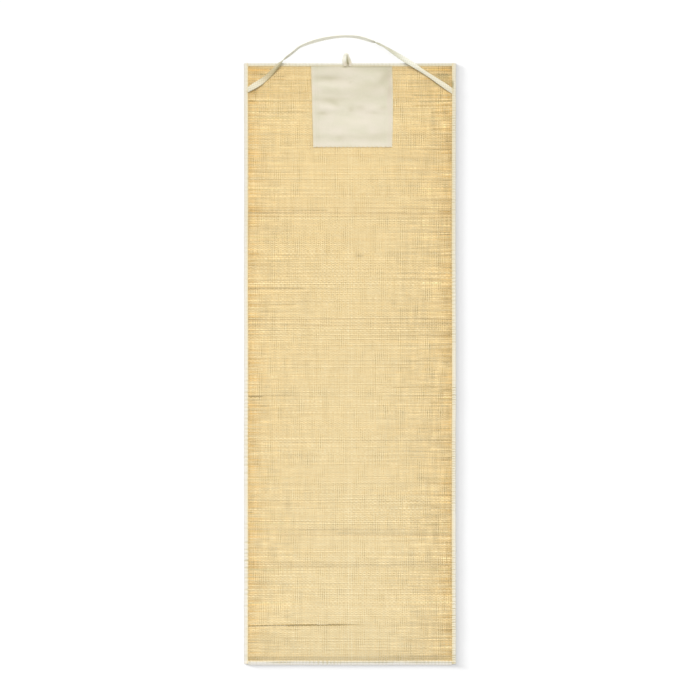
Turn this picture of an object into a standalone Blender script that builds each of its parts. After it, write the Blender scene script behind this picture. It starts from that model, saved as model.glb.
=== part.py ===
"""A straw beach mat, laid out flat with its head end towards +Y.

The woven straw panel is edged all round with a folded cotton tape. A plain cotton pocket is sewn
on at the head end, a cotton strap arches from one side edge to the other, past the head edge, and
a short loop of narrow tape stands at the middle of the head edge. The underside lies on z = 0.
"""

import math
from collections import namedtuple

import bmesh
import bpy
import numpy as np

MM = 0.001

# Driving dimensions, in metres
MAT_WIDTH = 0.600
MAT_LENGTH = 1.700
STRAP_REACH = 0.079
PANEL_THICKNESS = 0.0026
PANEL_EDGE_THICKNESS = 0.0020
PANEL_INSET = 0.0022
TAPE_THICKNESS = 0.0010
STRAP_THICKNESS = 0.0015
LOOP_THICKNESS = 0.0012
POCKET_THICKNESS = 0.0010
GAP = 0.0003

# How far each edge tape reaches in from the mat's outer edge
SIDE_REACH = 0.0115
HEAD_REACH = 0.0085
FOOT_REACH = 0.0120

# The whole is centred on the origin, strap and all
HALF_WIDTH = MAT_WIDTH / 2
HEAD_EDGE = (MAT_LENGTH - STRAP_REACH) / 2
FOOT_EDGE = HEAD_EDGE - MAT_LENGTH

# The panel's edge is pinched between the two layers of tape, and sinks to the floor further in
PINCHED_HEIGHT = TAPE_THICKNESS + GAP
LIFT_START = 0.0275
EDGE_WANDER = 0.0006
LEFT_WANDERS = 3
RIGHT_WANDERS = 2
HEAD_WANDERS = 1
FOOT_WANDERS = 2

# Faint swells of the straw's upper face: turns per metre across and along, in radians
SWELL = 0.00025
Swell = namedtuple("Swell", "across along start")
SWELLS = (
    Swell(9.0, 4.1, 0.6),
    Swell(-5.0, 14.0, 0.0),
    Swell(21.0, 6.3, 2.0),
)

# One row of straws has sunk and parted near the foot end, deepest at the left edge
PARTED_ROW_FROM_HEAD = 1.5895
PARTED_ROW_RISE = 0.0100
PARTED_ROW_DEPTH = 0.0012
PARTED_ROW_HALF_WIDTH = 0.0035
PARTED_ROW_END = 0.030

# The pocket, measured from the mat's middle line and head edge
POCKET_LEFT = -0.1073
POCKET_RIGHT = 0.1218
POCKET_DEPTH = 0.2272
POCKET_CLEARANCE = 0.0004
SEWN_MARGIN = 0.0200
HEM_WIDTH = 0.0170
HEM_EXTRA = 0.0005
HEM_STEP = 0.0020

# Colours, linear, and roughness
STRAW = ("straw", (0.82, 0.64, 0.34), 0.65)
EDGE_TAPE = ("edge_tape", (0.87, 0.80, 0.66), 0.9)
POCKET_CLOTH = ("pocket_cloth", (0.80, 0.74, 0.58), 0.9)
WEBBING = ("webbing", (0.86, 0.80, 0.67), 0.9)

# Soft folds of the pocket: place of each crest, its half length and half width, height and turn
Fold = namedtuple("Fold", "across_mm below_mm half_length_mm half_width_mm height_mm turn_deg")
POCKET_FOLDS = (
    Fold(-52, 26, 60, 13, 1.6, 2),
    Fold(35, 30, 55, 14, 0.9, -4),
    Fold(88, 44, 34, 11, 1.7, 48),
    Fold(-40, 72, 75, 14, 1.5, -3),
    Fold(62, 82, 60, 15, 1.1, 3),
    Fold(-62, 126, 42, 9, 1.3, -5),
    Fold(10, 112, 50, 13, 0.9, 8),
    Fold(76, 130, 45, 10, 1.0, -3),
    Fold(-8, 188, 80, 22, 0.6, 4),
)

# The tape's middle line, its width, the height of its lower edge, and its lean from upright.
# At 90 it lies flat with its outer edge away from the mat. Below 0 its top leans outwards.
Section = namedtuple("Section", "across_mm beyond_mm lean_deg width_mm base_mm")
STRAP_SECTIONS = (
    Section(-293.9, -77.2, 78, 13.5, 3.9),
    Section(-273.3, -65.8, 68, 17.0, 3.8),
    Section(-253.5, -53.7, 84, 18.0, 3.8),
    Section(-233.6, -39.8, 64, 18.0, 3.9),
    Section(-218.1, -23.9, 50, 18.0, 4.4),
    Section(-205.0, -10.3, 40, 18.0, 5.6),
    Section(-193.7, 1.6, 22, 18.0, 5.4),
    Section(-184.6, 10.3, 10, 18.0, 3.6),
    Section(-162.8, 30.2, 6, 18.0, 0.8),
    Section(-140.5, 46.6, 4, 18.0, 0.1),
    Section(-128.9, 52.0, -18, 18.0, 0.1),
    Section(-96.3, 63.0, -26, 18.0, 0.1),
    Section(-56.6, 71.8, -21, 18.0, 0.1),
    Section(-11.3, 75.9, -15, 18.0, 0.1),
    Section(19.8, 73.8, -22, 18.0, 0.1),
    Section(45.3, 67.8, -24, 18.0, 0.1),
    Section(56.6, 63.3, -7, 18.0, 0.1),
    Section(93.5, 46.6, 6, 18.0, 0.1),
    Section(117.5, 32.7, 18, 18.0, 0.7),
    Section(138.8, 19.7, 30, 18.0, 2.6),
    Section(160.0, 5.5, 40, 18.0, 5.3),
    Section(184.1, -9.5, 44, 18.0, 5.8),
    Section(203.0, -21.2, 47, 18.0, 4.9),
    Section(223.7, -33.8, 50, 18.0, 4.0),
    Section(257.7, -56.2, 62, 17.5, 3.8),
    Section(294.0, -78.3, 76, 13.5, 3.9),
)
LOOP_SECTIONS = (
    Section(-11.5, -7.6, 90, 12.0, 4.9),
    Section(-13.3, -1.0, 88, 13.0, 4.9),
    Section(-14.3, 5.0, 74, 13.0, 3.6),
    Section(-13.2, 12.0, 64, 10.0, 2.2),
    Section(-11.9, 19.6, 54, 9.0, 1.6),
    Section(-9.0, 25.2, 34, 9.0, 1.2),
    Section(-5.4, 24.8, 20, 9.0, 1.2),
    Section(-2.9, 19.0, 8, 9.0, 1.2),
    Section(-1.2, 12.5, 14, 9.0, 1.8),
    Section(1.8, 5.5, 42, 9.0, 3.8),
    Section(1.0, 0.3, 74, 9.5, 6.2),
    Section(-1.8, -3.6, 88, 10.0, 6.4),
    Section(-3.2, -7.9, 90, 10.0, 6.4),
)

# How finely each piece is divided
PANEL_SPAN = 0.060
SIDE_TAPE_SPAN = 0.085
END_TAPE_SPAN = 0.075
FOLD_STEPS = 4
POCKET_SPAN_ACROSS = 0.0190
POCKET_SPAN_ALONG = 0.0105
STRAP_STEP = 0.013
LOOP_STEP = 0.0035
TAPE_COLUMNS = 2
CREASE_ANGLE = math.radians(35)


def clear_scene():
    for item in list(bpy.data.objects):
        bpy.data.objects.remove(item, do_unlink=True)


def make_material(finish):
    """A plain Principled surface for one of the finishes named above."""
    name, colour, roughness = finish
    material = bpy.data.materials.get(name) or bpy.data.materials.new(name)
    material.use_nodes = True
    shader = material.node_tree.nodes["Principled BSDF"]
    shader.inputs["Base Color"].default_value = (*colour, 1.0)
    shader.inputs["Roughness"].default_value = roughness
    shader.inputs["Metallic"].default_value = 0.0
    return material


def add_piece(name, bm, finish):
    """Turns the worked mesh into one named object of the mat."""
    mesh = bpy.data.meshes.new(name)
    bm.to_mesh(mesh)
    bm.free()
    mesh.shade_smooth()
    mesh.set_sharp_from_angle(angle=CREASE_ANGLE)
    mesh.materials.append(make_material(finish))
    piece = bpy.data.objects.new(name, mesh)
    collection.objects.link(piece)
    return piece


def thicken(piece, thickness):
    """Gives a folded or twisted tape its thickness, half to each side of its middle."""
    shell = piece.modifiers.new("Thickness", "SOLIDIFY")
    shell.thickness = thickness
    shell.offset = 0.0
    shell.use_even_offset = True


def ease(value):
    """Runs smoothly from 0 to 1 as value does."""
    value = min(max(value, 0.0), 1.0)
    return value * value * (3.0 - 2.0 * value)


def spread(low, high, longest):
    """Even places from low to high, no further apart than longest."""
    return list(np.linspace(low, high, math.ceil((high - low) / longest) + 1))


def from_edge(x, y):
    """Distance from the mat's nearest outer edge."""
    return min(HALF_WIDTH - abs(x), HEAD_EDGE - y, y - FOOT_EDGE)


def wander(place, low, high, waves):
    """How far an edge draws in from its straight line, none at the corners."""
    share = (place - low) / (high - low)
    return EDGE_WANDER * math.sin(math.pi * waves * share) ** 2


def side_wander(side, y):
    """Shift of the left (-1) or right (1) edge, towards the mat's middle when taken away."""
    return side * wander(y, FOOT_EDGE, HEAD_EDGE, LEFT_WANDERS if side < 0 else RIGHT_WANDERS)


def end_wander(end, x):
    """Shift of the foot (-1) or head (1) edge, towards the mat's middle when taken away."""
    return end * wander(x, -HALF_WIDTH, HALF_WIDTH, HEAD_WANDERS if end > 0 else FOOT_WANDERS)


def lift(x, y):
    """Height of the panel's underside: on the floor, but for a sloping margin at the tapes."""
    slope = (LIFT_START - from_edge(x, y)) / (LIFT_START - FOOT_REACH)
    return PINCHED_HEIGHT * min(max(slope, 0.0), 1.0)


def parted_row(x, y):
    """Depth of the trough where the straws have parted."""
    line = HEAD_EDGE - PARTED_ROW_FROM_HEAD + PARTED_ROW_RISE * (x + HALF_WIDTH)
    fade = ease((PARTED_ROW_END - x) / HALF_WIDTH)
    across = max(0.0, 1.0 - abs(y - line) / PARTED_ROW_HALF_WIDTH)
    return PARTED_ROW_DEPTH * fade * across


def panel_top(x, y):
    """Height of the straw's upper face, with its faint swells."""
    margin = lift(x, y) / PINCHED_HEIGHT
    thickness = PANEL_THICKNESS + (PANEL_EDGE_THICKNESS - PANEL_THICKNESS) * margin
    swell = sum(math.sin(wave.across * x + wave.along * y + wave.start) for wave in SWELLS)
    return lift(x, y) + thickness + SWELL * swell * (1.0 - margin)


def panel_face(x, y):
    return panel_top(x, y) - parted_row(x, y)


def lay_sheet(name, across, along, underside, top, finish):
    """A flat grid doubled into a closed sheet, each face at its own height."""
    bm = bmesh.new()
    columns = len(across) - 1
    rows = len(along) - 1
    bmesh.ops.create_grid(bm, x_segments=columns, y_segments=rows, size=0.5)
    for point in bm.verts:
        column = round((point.co.x + 0.5) * columns)
        row = round((point.co.y + 0.5) * rows)
        point.co = (across[column], along[row], 0.0)
    lower = bm.verts[:]
    doubled = bmesh.ops.extrude_face_region(bm, geom=bm.faces[:], use_keep_orig=True)
    upper = [item for item in doubled["geom"] if isinstance(item, bmesh.types.BMVert)]
    for point in lower:
        point.co.z = underside(point.co.x, point.co.y)
    for point in upper:
        point.co.z = top(point.co.x, point.co.y)
    bmesh.ops.recalc_face_normals(bm, faces=bm.faces)
    return add_piece(name, bm, finish)


def panel_lines(low, high):
    """Grid lines of the panel along one direction: its margins, then even spans between them."""
    inner = spread(low + LIFT_START, high - LIFT_START, PANEL_SPAN)
    return [low + PANEL_INSET, low + FOOT_REACH, *inner, high - FOOT_REACH, high - PANEL_INSET]


def build_panel():
    """The woven straw: one flat slab whose edges run inside the folded tapes."""
    across = panel_lines(-HALF_WIDTH, HALF_WIDTH)
    along = panel_lines(FOOT_EDGE, HEAD_EDGE)
    trough = HEAD_EDGE - PARTED_ROW_FROM_HEAD + PARTED_ROW_RISE * HALF_WIDTH / 2
    along = [y for y in along if abs(y - trough) > 3 * PARTED_ROW_HALF_WIDTH]
    along += [trough - PARTED_ROW_HALF_WIDTH, trough, trough + PARTED_ROW_HALF_WIDTH]
    panel = lay_sheet("straw_panel", across, sorted(along), lift, panel_face, STRAW)
    for point in panel.data.vertices:
        x, y = point.co.x, point.co.y
        if HALF_WIDTH - abs(x) < 2 * PANEL_INSET:
            point.co.x -= side_wander(math.copysign(1, x), y)
        if min(HEAD_EDGE - y, y - FOOT_EDGE) < 2 * PANEL_INSET:
            point.co.y -= end_wander(1 if y > 0 else -1, x)


def fold_line(reach):
    """Middle line of the folded tape, from lower to upper edge: inset from the edge, and height."""
    low = TAPE_THICKNESS / 2
    high = PINCHED_HEIGHT + PANEL_EDGE_THICKNESS + GAP + TAPE_THICKNESS / 2
    radius = (high - low) / 2
    line = [(reach, low)]
    for step in range(FOLD_STEPS + 1):
        turn = -math.pi / 2 - math.pi * step / FOLD_STEPS
        inset = low + radius + radius * math.cos(turn)
        line.append((inset, low + radius + radius * math.sin(turn)))
    line.append((reach, high))
    return line


def build_edge_tape(name, reach, along, place):
    """A tape folded over an edge: its cross-section stretched along the edge by place."""
    line = fold_line(reach)
    bm = bmesh.new()
    columns = len(line) - 1
    rows = len(along) - 1
    bmesh.ops.create_grid(bm, x_segments=columns, y_segments=rows, size=0.5)
    for point in bm.verts:
        inset, height = line[round((point.co.x + 0.5) * columns)]
        run = along[round((point.co.y + 0.5) * rows)]
        point.co = (*place(inset, run), height)
    thicken(add_piece(name, bm, EDGE_TAPE), TAPE_THICKNESS)


def build_edge_tapes():
    """Two long side tapes that run the full length, and the end tapes that butt against them."""
    sides = spread(FOOT_EDGE, HEAD_EDGE, SIDE_TAPE_SPAN)
    for name, side in (("edge_tape_left", -1), ("edge_tape_right", 1)):

        def beside(inset, run, side=side):
            return side * (HALF_WIDTH - inset) - side_wander(side, run), run

        build_edge_tape(name, SIDE_REACH, sides, beside)
    butt = HALF_WIDTH - SIDE_REACH - GAP
    ends = spread(-butt, butt, END_TAPE_SPAN)

    def at_head(inset, run):
        return run, HEAD_EDGE - inset - end_wander(1, run)

    def at_foot(inset, run):
        return run, FOOT_EDGE + inset - end_wander(-1, run)

    build_edge_tape("edge_tape_head", HEAD_REACH, ends, at_head)
    build_edge_tape("edge_tape_foot", FOOT_REACH, ends, at_foot)


def pocket_slack(x, y):
    """Height of the pocket's loose folds above the straw."""
    height = 0.0
    for fold in POCKET_FOLDS:
        right = x - fold.across_mm * MM
        up = y - HEAD_EDGE + fold.below_mm * MM
        turn = math.radians(fold.turn_deg)
        along = (right * math.cos(turn) + up * math.sin(turn)) / (fold.half_length_mm * MM)
        off = (up * math.cos(turn) - right * math.sin(turn)) / (fold.half_width_mm * MM)
        height += fold.height_mm * MM * math.exp(-(along**2) - off**2)
    sewn = min(x - POCKET_LEFT, POCKET_RIGHT - x, y - (HEAD_EDGE - HEAD_REACH - POCKET_DEPTH))
    return height * ease(sewn / SEWN_MARGIN)


def pocket_underside(x, y):
    return panel_top(x, y) + POCKET_CLEARANCE + pocket_slack(x, y)


def pocket_top(x, y):
    hem = HEM_EXTRA if x < POCKET_LEFT + HEM_WIDTH + GAP else 0.0
    return pocket_underside(x, y) + POCKET_THICKNESS + hem


def build_pocket():
    """The patch pocket: flat canvas sewn down on three sides, with a doubled hem at the left."""
    mouth = HEAD_EDGE - HEAD_REACH - EDGE_WANDER - GAP
    hem_end = POCKET_LEFT + HEM_WIDTH
    across = [POCKET_LEFT, hem_end, *spread(hem_end + HEM_STEP, POCKET_RIGHT, POCKET_SPAN_ACROSS)]
    along = spread(HEAD_EDGE - HEAD_REACH - POCKET_DEPTH, mouth, POCKET_SPAN_ALONG)
    lay_sheet("pocket", across, along, pocket_underside, pocket_top, POCKET_CLOTH)


def smooth_rows(sections, step):
    """The table's columns read every step along a smooth line through its rows."""
    rows = np.array(sections, float)
    knots = np.append(0.0, np.cumsum(np.hypot(*np.diff(rows[:, :2], axis=0).T)))
    slopes = np.gradient(rows, knots, axis=0)
    where = np.linspace(0.0, knots[-1], round(knots[-1] * MM / step) + 1)
    left = np.clip(np.searchsorted(knots, where, side="right") - 1, 0, len(rows) - 2)
    span = (knots[left + 1] - knots[left])[:, None]
    part = (where - knots[left])[:, None] / span
    start = rows[left] * (1 + 2 * part) * (1 - part) ** 2 + slopes[left] * span * part * (1 - part) ** 2
    end = rows[left + 1] * part**2 * (3 - 2 * part) + slopes[left + 1] * span * part**2 * (part - 1)
    return start + end


def build_tape(name, sections, step, thickness, farthest):
    """A tape that follows its sections, turning from its flat on to its edge."""
    rows = smooth_rows(sections, step)
    middle = rows[:, :2] * MM + (0.0, HEAD_EDGE)
    along = np.gradient(middle, axis=0)
    along /= np.hypot(*along.T)[:, None]
    inward = np.column_stack([along[:, 1], -along[:, 0]])
    lean = np.radians(rows[:, 2])
    half = rows[:, 3] * MM / 2
    base = rows[:, 4] * MM + thickness / 2 * np.abs(np.sin(lean))
    bm = bmesh.new()
    count = len(rows) - 1
    bmesh.ops.create_grid(bm, x_segments=TAPE_COLUMNS, y_segments=count, size=0.5)
    for point in bm.verts:
        share = 2 * point.co.x
        row = round((point.co.y + 0.5) * count)
        x, y = middle[row] + inward[row] * share * half[row] * math.sin(lean[row])
        x = min(max(x, -farthest), farthest)
        point.co = (x, y, base[row] + (share + 1) * half[row] * math.cos(lean[row]))
    thicken(add_piece(name, bm, WEBBING), thickness)


clear_scene()
collection = bpy.data.collections.new("straw_beach_mat")
bpy.context.scene.collection.children.link(collection)
build_panel()
build_edge_tapes()
build_pocket()
tape_edge = HALF_WIDTH - SIDE_REACH - EDGE_WANDER - GAP
build_tape("carry_strap", STRAP_SECTIONS, STRAP_STEP, STRAP_THICKNESS, tape_edge)
build_tape("hang_loop", LOOP_SECTIONS, LOOP_STEP, LOOP_THICKNESS, tape_edge)
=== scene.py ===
import math
from collections import namedtuple

import bpy
import numpy as np
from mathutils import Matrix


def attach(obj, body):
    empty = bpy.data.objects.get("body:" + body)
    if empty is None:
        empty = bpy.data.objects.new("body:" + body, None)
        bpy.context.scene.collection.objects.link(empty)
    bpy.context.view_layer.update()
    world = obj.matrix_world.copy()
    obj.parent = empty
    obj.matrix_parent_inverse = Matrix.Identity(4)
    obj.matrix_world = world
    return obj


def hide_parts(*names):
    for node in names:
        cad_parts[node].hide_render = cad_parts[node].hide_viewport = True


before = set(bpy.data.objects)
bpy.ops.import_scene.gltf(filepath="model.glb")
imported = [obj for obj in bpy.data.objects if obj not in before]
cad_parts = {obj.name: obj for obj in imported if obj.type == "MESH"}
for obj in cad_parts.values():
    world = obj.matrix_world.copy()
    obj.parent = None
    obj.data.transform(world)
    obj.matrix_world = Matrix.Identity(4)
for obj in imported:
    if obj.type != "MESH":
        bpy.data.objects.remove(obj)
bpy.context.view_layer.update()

# The view: straight down on the mat as it lies, from so far above that nothing leans in the picture.
# The frame takes in a little under two metres, with the mat's head end up.
VIEW_WIDTH = 1.9823
VIEW_MIDDLE_Y = -0.0013
LENS_MM = 150
SENSOR_MM = 36

camera_place = (0, VIEW_MIDDLE_Y, VIEW_WIDTH * LENS_MM / SENSOR_MM)
bpy.ops.object.camera_add(location=camera_place)
camera = bpy.context.object
camera.name = "overhead_camera"
camera.data.lens = LENS_MM
camera.data.sensor_width = SENSOR_MM
camera.data.clip_end = 100
bpy.context.scene.camera = camera

# The studio: a pale sheet of floor under soft white light from all round, with a broad lamp over the
# head end for the mat. The floor has lamps of its own: two low ones at the upper left lay the thin soft
# shadow along the mat's right and foot edges. The strap and the loop throw none on it, as in the photo.
FLOOR_SIZE = 60
FLOOR_DROP = 0.0002
FLOOR_TONE = (0.588, 0.588, 0.588, 1)
SKY_STRENGTH = 0.72
Lamp = namedtuple("Lamp", "name height_deg spread_deg turn_deg strength lights")
LAMPS = (
    Lamp("mat_light", 54, 36, 176, 2.02, "mat"),
    Lamp("floor_light", 70, 60, 180, 1.74, "floor"),
    Lamp("low_light", 14, 22, 229, 3.14, "floor"),
    Lamp("lowest_light", 7, 10, 245, 7.94, "floor"),
)


def new_finish(name, roughness, specular):
    """An empty procedural finish, its node tree and its shader."""
    finish = bpy.data.materials.new(name)
    finish.use_nodes = True
    shader = finish.node_tree.nodes["Principled BSDF"]
    shader.inputs["Roughness"].default_value = roughness
    shader.inputs["Specular IOR Level"].default_value = specular
    return finish, finish.node_tree, shader


bpy.context.scene.view_settings.view_transform = "Standard"
bpy.ops.mesh.primitive_plane_add(size=FLOOR_SIZE, location=(0, 0, -FLOOR_DROP))
floor = bpy.context.object
floor.name = "studio_floor"
paint, _, shader = new_finish("studio_floor", 0.9, 0)
shader.inputs["Base Color"].default_value = FLOOR_TONE
floor.data.materials.append(paint)

sky = bpy.data.worlds.new("studio_sky")
sky.use_nodes = True
backdrop = sky.node_tree.nodes["Background"]
backdrop.inputs["Color"].default_value = (1, 1, 1, 1)
backdrop.inputs["Strength"].default_value = SKY_STRENGTH
bpy.context.scene.world = sky

floor_alone = bpy.data.collections.new("floor_alone")
floor_alone.objects.link(floor)
all_but_floor = bpy.data.collections.new("all_but_floor")
all_but_floor.objects.link(floor)
all_but_floor.collection_objects[0].light_linking.link_state = "EXCLUDE"
throws_none = bpy.data.collections.new("throws_no_floor_shadow")
for lamp in LAMPS:
    tilt = math.radians(90 - lamp.height_deg)
    bpy.ops.object.light_add(type="SUN", rotation=(tilt, 0, math.radians(lamp.turn_deg)))
    light = bpy.context.object
    light.name = lamp.name
    light.data.angle = math.radians(lamp.spread_deg)
    light.data.energy = lamp.strength
    if lamp.lights == "floor":
        light.light_linking.receiver_collection = floor_alone
        light.light_linking.blocker_collection = throws_none
    else:
        light.light_linking.receiver_collection = all_but_floor

# The woven straw: one mat of dried rush straws laid side by side across its width, each pressed a
# little flat. Thick and thin straws are mixed, their root ends lie at the sides, darker and redder,
# and each dips where a warp thread crosses over it and rises where one passes beneath.
MM = 0.001
HALF_WIDTH = 0.3
HEAD_EDGE = 0.8105
FOOT_EDGE = -0.8895
PANEL_THICKNESS = 0.0026
PINCHED_THICKNESS = 0.002
PANEL_INSET = 0.0024
PINCHED_HEIGHT = 0.0013
LIFT_START = 0.0275
PINCHED_REACH = 0.012
SWELL = 0.00025
SWELLS = ((9, 4.1, 0.6), (-5, 14, 0), (21, 6.3, 2))
STRAWS = 560
BANDS = 4
WARPS = 99
WARP_STRAY = 0.00035
STRAND_RADIUS = 0.001
STRAW_SIDES = 4
STRAW_OVERLAP = 1.07
STRAW_HALF_HEIGHT = 0.00088
ROW_HALF = 0.0016
DIP = 0.00034
DOUBLE_ROWS = 0.22
ROOT_REACH = 0.02
ROOT_LONGER = 0.075
OWN_SIZE = 0.04
FADE_STEP = 0.031
FADE_SIZE = 0.04
WARP_SHADE_STEP = 0.045
GREEN_STRAWS = 0.07
BROWN_STRAWS = 0.03
# One row near the foot end is parted: how far it opens, slants and reaches, and how much darker and browner
# its straws are painted, as painted shade of the gap. A straw's distance from it is read a hair short, so
# that none lies right on it.
PARTED_AT = HEAD_EDGE - 1.5926
PARTED_RISE = 0.0092
PARTED_SLANT_REACH = 0.09
PARTED_END = 0.075
PARTED_FADE = 0.16
PARTED_GAP = 0.0006
PARTED_GAP_REACH = 0.01
PARTED_HALF = 0.0019
OFF_PARTED = 0.00001
PARTED_DARK = 0.38
PARTED_TINT = np.array((0.97, 0.86, 0.58))
# The straws' colours, and what the age of the mat does to them at the head and at the foot.
PALE = np.array((0.846, 0.711, 0.419))
WARM = np.array((0.83, 0.575, 0.22))
GREENISH = np.array((0.62, 0.58, 0.28))
BROWN = np.array((0.45, 0.27, 0.11))
YELLOWER = np.array((1.005, 0.992, 0.93))
FADED = np.array((0.97, 1.01, 1.078))
# Painted shade at the threads and painted light between them, each from faint to deep, then painted shade
# in the dips and painted light on the rises.
AT_THREADS = (0.97, 0.55)
BETWEEN_THREADS = (1, 1.09)
DIP_DARK = (1.04, 0.9)
TIGHT_LINES = (0.975, 1.02)
DARK_CAST = (1.06, 0.955, 0.78, 1)
LIGHT_CAST = (0.985, 1.005, 1.1, 1)
MIDDLE_LINE_AT = 0.0042
MIDDLE_LINE_HALF = 0.0013
MIDDLE_PALE = 1.05

draw = np.random.default_rng(11)


def table(kind, *rows):
    """The rows of a table, each with its columns named."""
    return [kind(*row) for row in rows]


def ease(value):
    """Runs smoothly from 0 to 1 as value does."""
    value = np.clip(value, 0, 1)
    return value * value * (3 - 2 * value)


def bell(value, middle, half):
    """1 at the middle, fading on either side, to about a third at a distance of half."""
    return np.exp(-(((value - middle) / half) ** 2))


def drift(places, spacing, size=1):
    """A slow random rise and fall along places, with a turn about every spacing."""
    low, high = float(np.min(places)), float(np.max(places))
    count = max(4, int((high - low) / spacing) + 4)
    knots = np.linspace(low - spacing, high + spacing, count)
    values = draw.normal(size=count)
    left = np.clip(np.searchsorted(knots, places) - 1, 0, count - 2)
    share = ease((places - knots[left]) / (knots[1] - knots[0]))
    return size * (values[left] * (1 - share) + values[left + 1] * share)


def margin(x, y):
    """From 0 in the field to 1 where the tapes hold the straw."""
    edge = np.minimum(HALF_WIDTH - np.abs(x), np.minimum(HEAD_EDGE - y, y - FOOT_EDGE))
    return np.clip((LIFT_START - edge) / (LIFT_START - PINCHED_REACH), 0, 1)


def panel_thickness(x, y):
    """How thick the straw lies, thinner where the tapes pinch it."""
    return PANEL_THICKNESS + (PINCHED_THICKNESS - PANEL_THICKNESS) * margin(x, y)


def panel_middle(x, y):
    """Height of the straw's middle: resting on the floor, raised a little by its tapes and swells."""
    waves = sum(np.sin(across * x + along * y + start) for across, along, start in SWELLS)
    swell = SWELL * (waves + len(SWELLS)) / 2 * (1 - margin(x, y))
    return PINCHED_HEIGHT * margin(x, y) + panel_thickness(x, y) / 2 + swell


def row_bow(x, y):
    """How far the rows stray from straight: slow waves, and the slant at the parted row."""
    waves = 0.0011 * np.sin(4.3 * x + 7 * y) + 0.0007 * np.sin(-11 * x + 17 * y + 1)
    slant = PARTED_RISE * (x + HALF_WIDTH) * bell(y, PARTED_AT, PARTED_SLANT_REACH)
    pull = 0
    for side, start in ((-1, 0.4), (1, 2.1)):
        drawn = 0.0016 * np.sin(19 * y + start) + 0.0012 * np.sin(47 * y + 3 * start)
        pull += drawn * np.exp(-(HALF_WIDTH - side * x) / 0.03)
    return waves + slant + pull


def parted_share(x):
    """From 1 at the left, where the parted row is open, to 0 where it has closed."""
    return ease((PARTED_END - x) / PARTED_FADE)


def parted_push(x, gap):
    """How far a row is pushed away from the parted one, by its distance from it."""
    return PARTED_GAP * np.sign(gap) * np.exp(-np.abs(gap) / PARTED_GAP_REACH) * parted_share(x)


def within(y):
    """Keeps the straw inside its head and foot edges."""
    return np.clip(y, FOOT_EDGE + PANEL_INSET, HEAD_EDGE - PANEL_INSET)


def straw_rows():
    """The rows' middles and widths, from the head down: coarse and fine straws mixed."""
    widths = 1 + 0.24 * draw.normal(size=STRAWS).clip(-1.7, 2.4)
    widths *= 1 + 0.12 * drift(np.arange(STRAWS), 22)
    widths *= (HEAD_EDGE - FOOT_EDGE - 2 * PANEL_INSET) / widths.sum()
    ends = HEAD_EDGE - PANEL_INSET - np.cumsum(widths)
    return ends + widths / 2, widths


def warp_places():
    """The threads' places across the mat, not quite even."""
    half = HALF_WIDTH - PANEL_INSET
    places = np.linspace(-half, half, WARPS + 2)
    places[1:-1] += WARP_STRAY * draw.normal(size=WARPS).clip(-2, 2)
    return places


row_middle, row_width = straw_rows()
fullness = np.sqrt(row_width / row_width.mean()).clip(0.75, 1.15)
warp_x = warp_places()
repeats = draw.random(STRAWS) < DOUBLE_ROWS
row_phase = np.cumsum(~repeats) % 2
thread_over = np.where((row_phase[:, None] + np.arange(WARPS + 2)) % 2 == 0, 1, -1)
thread_over[:, [0, -1]] = 0


def thread_wander(warp, y):
    """A thread's slow stray to either side on its way down the mat."""
    return 0.0005 * np.sin(5 * y + 5.1 * np.sin(0.31 * warp)) * (1 - margin(warp_x[warp], y))


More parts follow.
